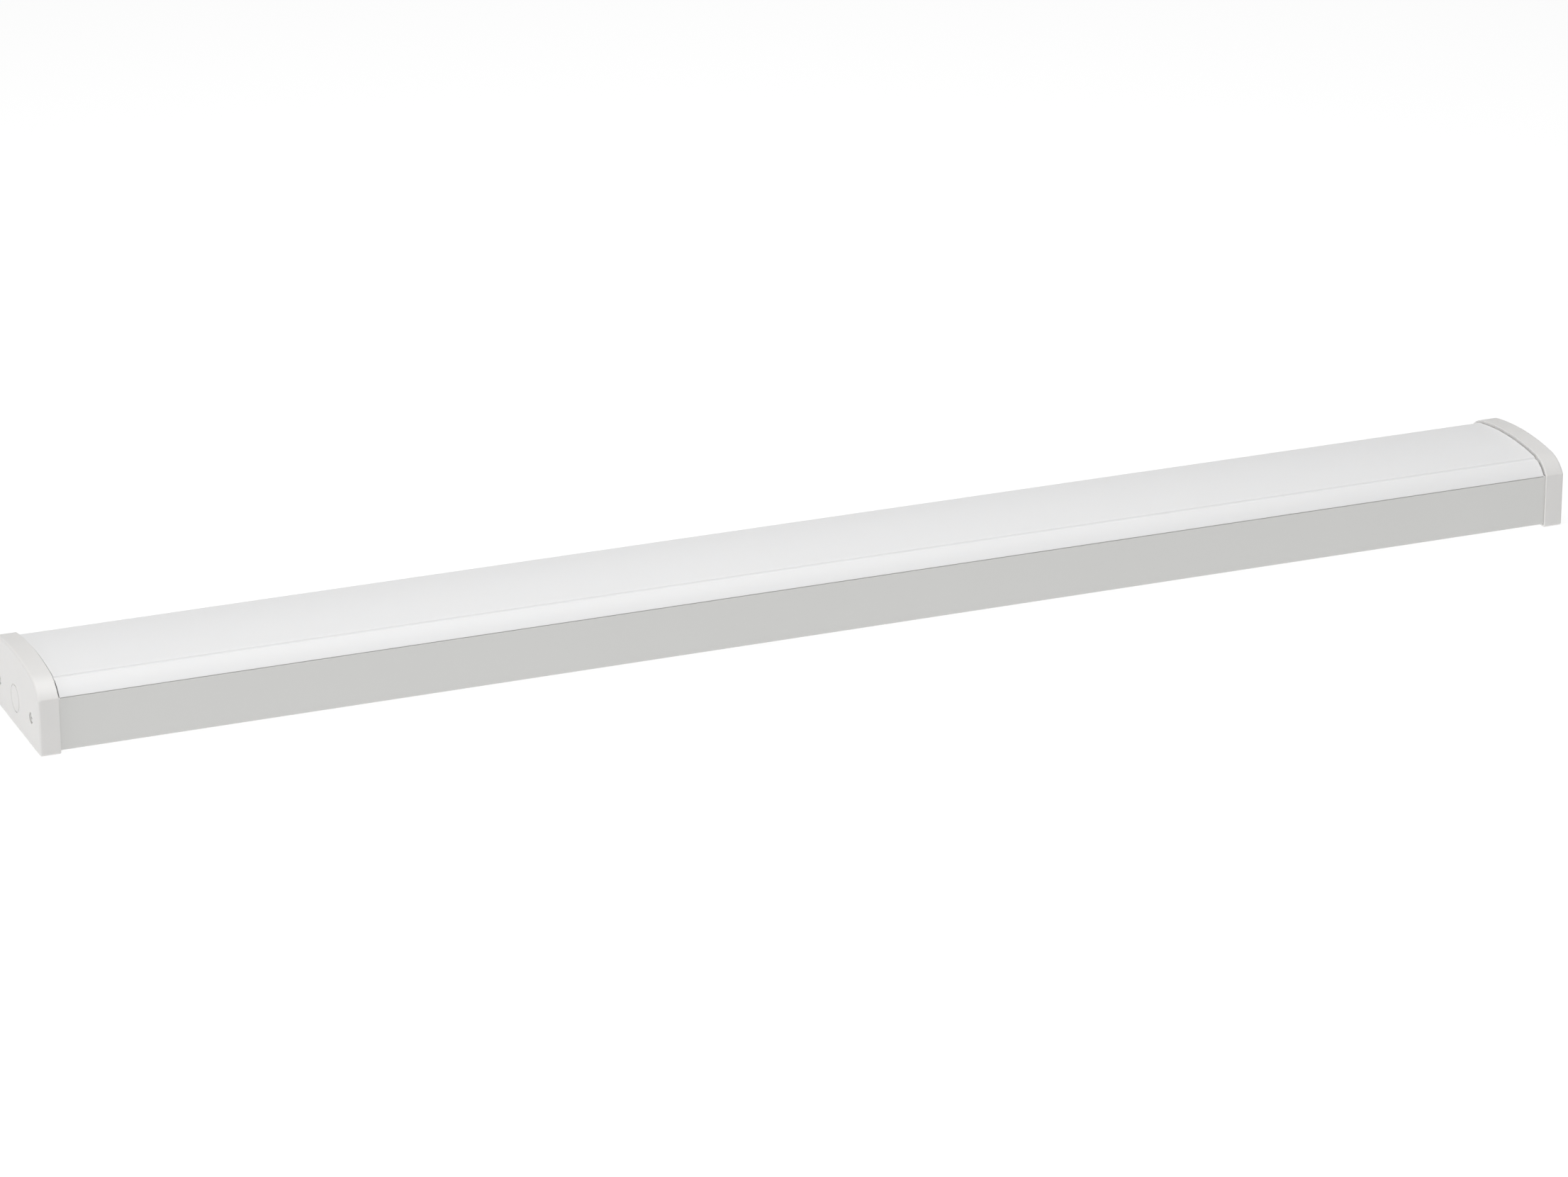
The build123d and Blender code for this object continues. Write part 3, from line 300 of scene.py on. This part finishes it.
finishes = {
    "white_powder_coat": powder_coat("white_powder_coat"),
    "reflector_white": powder_coat("reflector_white", 1.2 * MM, 0.01 * MM, 0.28, 0.38),
    "white_screw": powder_coat("white_screw", 0.8 * MM, 0.01 * MM),
    "zinc_plated_steel": rolled_metal("zinc_plated_steel", 0.26, 0.42),
    "rivet_aluminium": rolled_metal("rivet_aluminium", 0.30, 0.45, (1, 1, 1)),
    "zinc_screw": rolled_metal("zinc_screw", 0.22, 0.36, (1, 1, 1)),
    "spring_steel": rolled_metal("spring_steel", 0.28, 0.40),
    "tinned_brass": rolled_metal("tinned_brass", 0.25, 0.45, (1, 1, 1)),
    "board_white": solder_mask("board_white"),
    "circuit_board_green": solder_mask("circuit_board_green", 0.5 * MM),
    "led_package": moulding("led_package", 0.15 * MM, 0.004 * MM, 0.34, 0.46),
    "led_phosphor": phosphor("led_phosphor"),
    "connector_nylon": moulding("connector_nylon", milky=0.15),
    "connector_grey": moulding("connector_grey"),
    "driver_plastic": moulding("driver_plastic", 0.5 * MM, 0.03 * MM, 0.48, 0.62),
    "transformer_core": banded(
        "transformer_core",
        (transformer_low.z + core_thickness, transformer_high.z - core_thickness),
        (0.62, 0.42, 0.04),
    ),
    "capacitor_sleeve": banded(
        "capacitor_sleeve", (capacitor_high.z - can_end, capacitor_high.z + can_end), (0.60, 0.60, 0.61)
    ),
    "button_brown": moulding("button_brown"),
    "button_green": moulding("button_green"),
    "button_blue": moulding("button_blue"),
    "wire_brown": insulation("wire_brown"),
    "wire_blue": insulation("wire_blue"),
    "wire_red": insulation("wire_red"),
    "wire_black": insulation("wire_black"),
    "wire_white": insulation("wire_white"),
    "wire_green_yellow": striped_insulation("wire_green_yellow"),
    "grommet_rubber": rubber("grommet_rubber"),
    "opal_diffuser": opal_sheet("opal_diffuser"),
    "cap_plastic": moulding("cap_plastic", 0.35 * MM, 0.010 * MM, 0.40, 0.50, milky=0.10),
    "latch_nylon": moulding("latch_nylon", milky=0.15),
}

for subpart in record["subparts"]:
    node = frame["nodes"][subpart["node"]]
    node.data.materials.clear()
    node.data.materials.append(finishes[subpart["material_slot"]].material)


# Small pieces that the CAD solids leave out, measured in millimetres. A place that no node's box
# gives, such as a rivet's or a connector's, is a named number that the CAD model has too.


class Detail:
    """One mesh of small shapes, in millimetres, that rides on a body."""

    def __init__(self, name, slot, body="housing"):
        self.name = name
        self.slot = slot
        self.body = body
        self.shapes = bmesh.new()

    def turned(self, place, profile, axis=(0, 0, 1), steps=20):
        """A turned shape from (radius, height) pairs: solid if they start on the axis, or else a ring."""
        tilt = Vector((0, 0, 1)).rotation_difference(Vector(axis)).to_matrix()
        rings = []
        for radius, height in profile:
            count = steps if radius > 0 else 1
            ring = []
            for step in range(count):
                angle = 2 * math.pi * step / steps
                point = Vector((radius * math.cos(angle), radius * math.sin(angle), height))
                ring.append(self.shapes.verts.new(Vector(place) + tilt @ point))
            rings.append(ring)
        following = rings[1:] if profile[0][0] == 0 else rings[1:] + rings[:1]
        for lower, upper in zip(rings, following):
            for step in range(steps):
                corners = [
                    lower[step % len(lower)],
                    lower[(step + 1) % len(lower)],
                    upper[(step + 1) % len(upper)],
                    upper[step % len(upper)],
                ]
                face = self.shapes.faces.new(list(dict.fromkeys(corners)))
                face.smooth = True

    def slab(self, low, high, bevel):
        """A block with rounded edges, made apart because a bevel's order varies in a large mesh."""
        span = Vector(high) - Vector(low)
        place = Matrix.Translation((Vector(high) + Vector(low)) / 2) @ Matrix.Diagonal((*span, 1.0))
        block = bmesh.new()
        bmesh.ops.create_cube(block, size=1.0, matrix=place)
        bmesh.ops.bevel(
            block, geom=block.edges[:], offset=bevel, segments=2, profile=0.6, affect="EDGES"
        )
        mesh = bpy.data.meshes.new("block")
        block.to_mesh(mesh)
        block.free()
        self.shapes.from_mesh(mesh)
        bpy.data.meshes.remove(mesh)

    def wound(self, centre, half_x, half_y, corner, wire):
        """One turn of wire round a rounded rectangle."""
        steps_round, steps_corner = 8, 5
        rings = []
        for quarter, (side_x, side_y) in enumerate(((1, 1), (-1, 1), (-1, -1), (1, -1))):
            for step in range(steps_corner + 1):
                angle = math.radians(90 * (quarter + step / steps_corner))
                outwards = Vector((math.cos(angle), math.sin(angle), 0))
                middle = Vector((side_x * (half_x - corner), side_y * (half_y - corner), 0))
                spine = Vector(centre) + middle + outwards * corner
                ring = []
                for turn in range(steps_round):
                    around = 2 * math.pi * turn / steps_round
                    offset = outwards * math.cos(around) + Vector((0, 0, math.sin(around)))
                    ring.append(self.shapes.verts.new(spine + offset * wire))
                rings.append(ring)
        for ring, following in zip(rings, rings[1:] + rings[:1]):
            for turn in range(steps_round):
                beyond = (turn + 1) % steps_round
                face = self.shapes.faces.new(
                    (ring[turn], following[turn], following[beyond], ring[beyond])
                )
                face.smooth = True

    def done(self):
        """Turns the shapes into an object on its body, in metres."""
        bmesh.ops.recalc_face_normals(self.shapes, faces=self.shapes.faces)
        bmesh.ops.scale(self.shapes, vec=(MM, MM, MM), verts=self.shapes.verts)
        mesh = bpy.data.meshes.new(self.name)
        self.shapes.to_mesh(mesh)
        self.shapes.free()
        mesh.materials.append(finishes[self.slot].material)
        piece = bpy.data.objects.new(self.name, mesh)
        bpy.context.scene.collection.objects.link(piece)
        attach(piece, self.body)


def box_mm(node):
    """A node's lowest and highest corners, in millimetres."""
    low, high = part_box(node)
    return low / MM, high / MM


# Phosphor domes and solder on the LED packages, and the raised tracks between them
packages_per_board = 28
package_length = 2.8
package_width = 3.5
dome_profile = ((0, -0.1), (1.22, -0.1), (1.22, 0.03), (1.12, 0.12), (0.8, 0.24), (0.4, 0.31), (0, 0.33))
solder_half_length = 0.9
solder_inside, solder_outside = 0.1, 0.4
solder_sunk, solder_height = 0.1, 0.32
pad_profile = ((0, -0.1), (1.0, -0.1), (1.0, 0.05), (0.7, 0.16), (0, 0.2))
pad_inset = 2.2
pad_offset = 5.5
track_half_width = 1.1
track_height = 0.06
track_sunk = 0.05
track_gap = 1.2
track_overlap = 0.9
edge_track_place = 0.43
edge_track_half_width = 0.5
edge_track_inset = 4

for quarter in ("front_left", "front_right", "rear_left", "rear_right"):
    low, high = box_mm("led_packages_" + quarter)
    board_low, board_high = box_mm("led_board_" + quarter)
    board_top = board_high.z
    middle_y = (low.y + high.y) / 2
    pitch = (high.x - low.x - package_length) / (packages_per_board - 1)
    spots = [low.x + package_length / 2 + pitch * count for count in range(packages_per_board)]
    domes = Detail("led_domes_" + quarter, "led_phosphor")
    solder = Detail("led_solder_" + quarter, "tinned_brass")
    for x in spots:
        domes.turned((x, middle_y, high.z), dome_profile)
        for side in (-1, 1):
            edge = middle_y + side * package_width / 2
            near, far = sorted((edge - solder_inside * side, edge + solder_outside * side))
            solder.slab(
                (x - solder_half_length, near, board_top - solder_sunk),
                (x + solder_half_length, far, board_top + solder_height),
                0.12,
            )
    for x in (board_low.x + pad_inset, board_high.x - pad_inset):
        for offset in (-pad_offset, pad_offset):
            solder.turned((x, middle_y + offset, board_top), pad_profile)
    domes.done()
    solder.done()
    tracks = Detail("board_tracks_" + quarter, "board_white")
    for count, (start, end) in enumerate(zip(spots, spots[1:])):
        side = 1 if count % 2 else -1
        y = middle_y + side * (package_width / 2 + track_gap)
        tracks.slab(
            (start - track_overlap, y - track_half_width, board_top - track_sunk),
            (end + track_overlap, y + track_half_width, board_top + track_height),
            0.04,
        )
    for side in (-1, 1):
        y = middle_y + side * (board_high.y - board_low.y) * edge_track_place
        tracks.slab(
            (board_low.x + edge_track_inset, y - edge_track_half_width, board_top - track_sunk),
            (board_high.x - edge_track_inset, y + edge_track_half_width, board_top + track_height),
            0.04,
        )
    tracks.done()

# Release levers on the board connectors: four in the middle and two on the driver's wires
inner_connector_x = 9.5
driver_connector_x = -394.5
connector_width = 6.0
lever_shift = 1.5
lever_half_length, lever_half_width = 1.9, 0.85
lever_sunk, lever_height = 0.2, 0.35

connector_low, connector_high = box_mm("board_connectors")
row_y = (connector_high.y - connector_low.y - connector_width) / 2
levers = Detail("connector_levers", "connector_nylon")
for x in (-inner_connector_x, inner_connector_x, driver_connector_x):
    for row in (-1, 1):
        for shift in (-lever_shift, lever_shift):
            if x == driver_connector_x:
                place = Vector((x + shift, row * row_y, connector_high.z))
                reach = (lever_half_width, lever_half_length)
            else:
                place = Vector((x, row * row_y + shift, connector_high.z))
                reach = (lever_half_length, lever_half_width)
            lowest = place - Vector((*reach, lever_sunk))
            highest = place + Vector((*reach, lever_height))
            levers.slab(lowest, highest, 0.15)
levers.done()

# The driver's winding turns, can tops and small components
turn_count = 9
first_turn_height = 3.5
winding_height = 6.0

core_low, core_high = box_mm("driver_transformer")
core_centre = (core_low + core_high) / 2
winding = Detail("driver_winding", "transformer_core")
for count in range(turn_count):
    level = core_low.z + first_turn_height + winding_height * count / (turn_count - 1)
    place = (core_centre.x, core_centre.y, level)
    winding.wound(place, half_x=9.0, half_y=11.0, corner=4.0, wire=0.32)
winding.done()

large_can_radius = 6.0
small_can_radius = 5.0
rolled_rim = 1.2

can_low, can_high = box_mm("driver_capacitors")
can_spots = [
    (can_high.x - large_can_radius, 0.0, large_can_radius),
    (can_low.x + small_can_radius, can_low.y + small_can_radius, small_can_radius),
    (can_low.x + small_can_radius, can_high.y - small_can_radius, small_can_radius),
]
can_tops = Detail("capacitor_tops", "rivet_aluminium")
for x, y, radius in can_spots:
    rim = radius - rolled_rim
    top = ((0, -0.2), (rim, -0.2), (rim, 0.1), (rim - 0.4, 0.22), (0.6, 0.22), (0.4, 0.05), (0, 0.05))
    can_tops.turned((x, y, can_high.z), top)
can_tops.done()

chip_rows = (-14.5, -11.0, 13.0)
chip_half_length, chip_half_width = 1.6, 0.8
chip_sunk, chip_height = 0.1, 0.8
chip_end_from, chip_end_to = 1.3, 2.1
chip_end_half_width, chip_end_height = 0.9, 0.5

circuit_low, circuit_high = box_mm("driver_circuit_board")
chip_columns = [circuit_low.x + 40.0, circuit_low.x + 70.0, circuit_high.x - 68.0, circuit_high.x - 30.0]
chip_foot = circuit_high.z - chip_sunk
chips = Detail("driver_chips", "driver_plastic")
chip_ends = Detail("driver_chip_ends", "tinned_brass")
for x in chip_columns:
    for y in chip_rows:
        chips.slab(
            (x - chip_half_length, y - chip_half_width, chip_foot),
            (x + chip_half_length, y + chip_half_width, circuit_high.z + chip_height),
            0.1,
        )
        for side in (-1, 1):
            near, far = sorted((x + side * chip_end_from, x + side * chip_end_to))
            chip_ends.slab(
                (near, y - chip_end_half_width, chip_foot),
                (far, y + chip_end_half_width, circuit_high.z + chip_end_height),
                0.1,
            )
chips.done()
chip_ends.done()

# Metal liners in the terminal block's supply holes, and ribs between its poles
pole_pitch = 8.5
supply_hole_z = 8.0
liner_inset = 0.7
liner_profile = ((1.25, -0.8), (1.64, -0.8), (1.64, 0.5), (1.5, 0.5), (1.25, 0.2))
rib_places = (-1.48, -0.5, 0.5, 1.48)
rib_half_width = 0.4
rib_inset = 2
rib_rise, rib_depth = 0.6, 1.6

block_low, block_high = box_mm("terminal_block")
liners = Detail("terminal_liners", "tinned_brass")
for y in (-pole_pitch, 0.0, pole_pitch):
    liners.turned((block_high.x - liner_inset, y, supply_hole_z), liner_profile, axis=(1, 0, 0))
liners.done()
ribs = Detail("terminal_block_ribs", "connector_grey")
rib_top = block_high.z + rib_rise
for place in rib_places:
    y = place * pole_pitch
    ribs.slab(
        (block_low.x + rib_inset, y - rib_half_width, rib_top - rib_depth),
        (block_high.x - rib_inset, y + rib_half_width, rib_top),
        0.2,
    )
ribs.done()

# Mandrel ends standing in the blind rivets
mandrel_profile = ((0, -0.3), (0.75, -0.3), (0.75, 0.25), (0.55, 0.45), (0.2, 0.3), (0, 0.3))
plate_rivet_x, plate_rivet_y = 577.8, 30.0
bracket_x, bracket_rivet_shift = 440.0, 21.0

rivet_spots = {
    "end_plate_rivets": [
        (x, y) for x in (-plate_rivet_x, plate_rivet_x) for y in (-plate_rivet_y, plate_rivet_y)
    ],
    "bracket_rivets": [
        (middle + shift, 0.0)
        for middle in (-bracket_x, bracket_x)
        for shift in (-bracket_rivet_shift, bracket_rivet_shift)
    ],
}
for node, spots in rivet_spots.items():
    rivet_top = box_mm(node)[1].z
    pins = Detail("mandrels_" + node, "zinc_screw")
    for x, y in spots:
        pins.turned((x, y, rivet_top), mandrel_profile, steps=14)
    pins.done()

# Pointers on the latches, and shallow ribs inside the end caps
disc_top = 30.7
pointer_offset = 5.6
pointer_profile = ((0, -0.2), (1.0, -0.2), (0.9, 0.25), (0.5, 0.4), (0, 0.42))
cap_wall = 2.5
cap_ribs_y = (-52.0, -26.0, -15.0, 15.0, 26.0, 52.0)
cap_rib_bottom, cap_rib_top = 5.0, 39.0
cap_rib_half_width = 0.6
cap_rib_sunk, cap_rib_height = 0.3, 0.9

for side, name in ((-1, "left"), (1, "right")):
    low, high = box_mm("tray_latch_" + name)
    middle_x = (low.x + high.x) / 2
    pointer = Detail("latch_pointer_" + name, "latch_nylon", "tray_latch_" + name)
    for turn in (-1, 1):
        pointer.turned((middle_x, turn * pointer_offset, disc_top), pointer_profile)
    pointer.done()
    cap_low, cap_high = box_mm("end_cap_" + name)
    outer_face = cap_high.x if side > 0 else cap_low.x
    inner_face = outer_face - cap_wall * side
    near, far = sorted((inner_face + cap_rib_sunk * side, inner_face - cap_rib_height * side))
    cap_ribs = Detail("end_cap_ribs_" + name, "cap_plastic", "end_cap_" + name)
    for y in cap_ribs_y:
        cap_ribs.slab(
            (near, y - cap_rib_half_width, cap_rib_bottom), (far, y + cap_rib_half_width, cap_rib_top), 0.25
        )
    cap_ribs.done()


# Studio: a pale floor under broad soft lights


def area_light(name, place, target, size, power):
    """Square soft light at a place, facing a target."""
    light = bpy.data.lights.new(name, "AREA")
    light.shape = "SQUARE"
    light.size = size
    light.energy = power
    holder = bpy.data.objects.new(name, light)
    holder.location = place
    holder.rotation_mode = "QUATERNION"
    holder.rotation_quaternion = (Vector(target) - Vector(place)).to_track_quat("-Z", "Y")
    bpy.context.scene.collection.objects.link(holder)


def pale_floor(half_side, height, colour, glow):
    """A plain square floor, one pale colour all over, with one even soft glow."""
    mesh = bpy.data.meshes.new("floor")
    corners = [(x * half_side, y * half_side, height) for x, y in ((-1, -1), (1, -1), (1, 1), (-1, 1))]
    mesh.from_pydata(corners, [], [(0, 1, 2, 3)])
    floor = bpy.data.objects.new("floor", mesh)
    material = bpy.data.materials.new("pale_floor")
    material.use_nodes = True
    shader = material.node_tree.nodes["Principled BSDF"]
    shader.inputs["Base Color"].default_value = (colour, colour, colour, 1.0)
    shader.inputs["Roughness"].default_value = 0.9
    shader.inputs["Specular IOR Level"].default_value = 0.0
    shader.inputs["Emission Color"].default_value = (1.0, 1.0, 1.0, 1.0)
    shader.inputs["Emission Strength"].default_value = glow
    mesh.materials.append(material)
    bpy.context.scene.collection.objects.link(floor)


centre = (cad_bounds[0] + cad_bounds[1]) / 2
pale_floor(half_side=20.0, height=cad_bounds[0].z - 0.2 * MM, colour=0.30, glow=0.80)
area_light("overhead", (-0.2, -0.35, 3.0), centre, size=2.6, power=90.0)
area_light("left_fill", (-3.0, -0.4, 0.5), centre, size=0.8, power=15.0)

world = bpy.data.worlds.new("studio")
world.use_nodes = True
world.node_tree.nodes["Background"].inputs["Color"].default_value = (1.0, 1.0, 1.0, 1.0)
world.node_tree.nodes["Background"].inputs["Strength"].default_value = 0.12
bpy.context.scene.world = world
bpy.context.scene.view_settings.view_transform = "Standard"

# Camera: a long lens from the front left, a little above the batten
camera_azimuth = math.radians(22.9)
camera_elevation = math.radians(20.75)
camera_distance = 4.360
camera_target = Vector((0.0, -18.5 * MM, 22 * MM))

camera_data = bpy.data.cameras.new("camera")
camera_data.sensor_width = 36.0
camera_data.lens = 136.7
camera_data.shift_x = -0.021
camera_data.clip_end = 100.0
camera = bpy.data.objects.new("camera", camera_data)
away = Vector(
    (
        -math.sin(camera_azimuth) * math.cos(camera_elevation),
        -math.cos(camera_azimuth) * math.cos(camera_elevation),
        math.sin(camera_elevation),
    )
)
camera.location = camera_target + away * camera_distance
camera.rotation_mode = "QUATERNION"
camera.rotation_quaternion = (-away).to_track_quat("-Z", "Y")
bpy.context.scene.collection.objects.link(camera)
bpy.context.scene.camera = camera
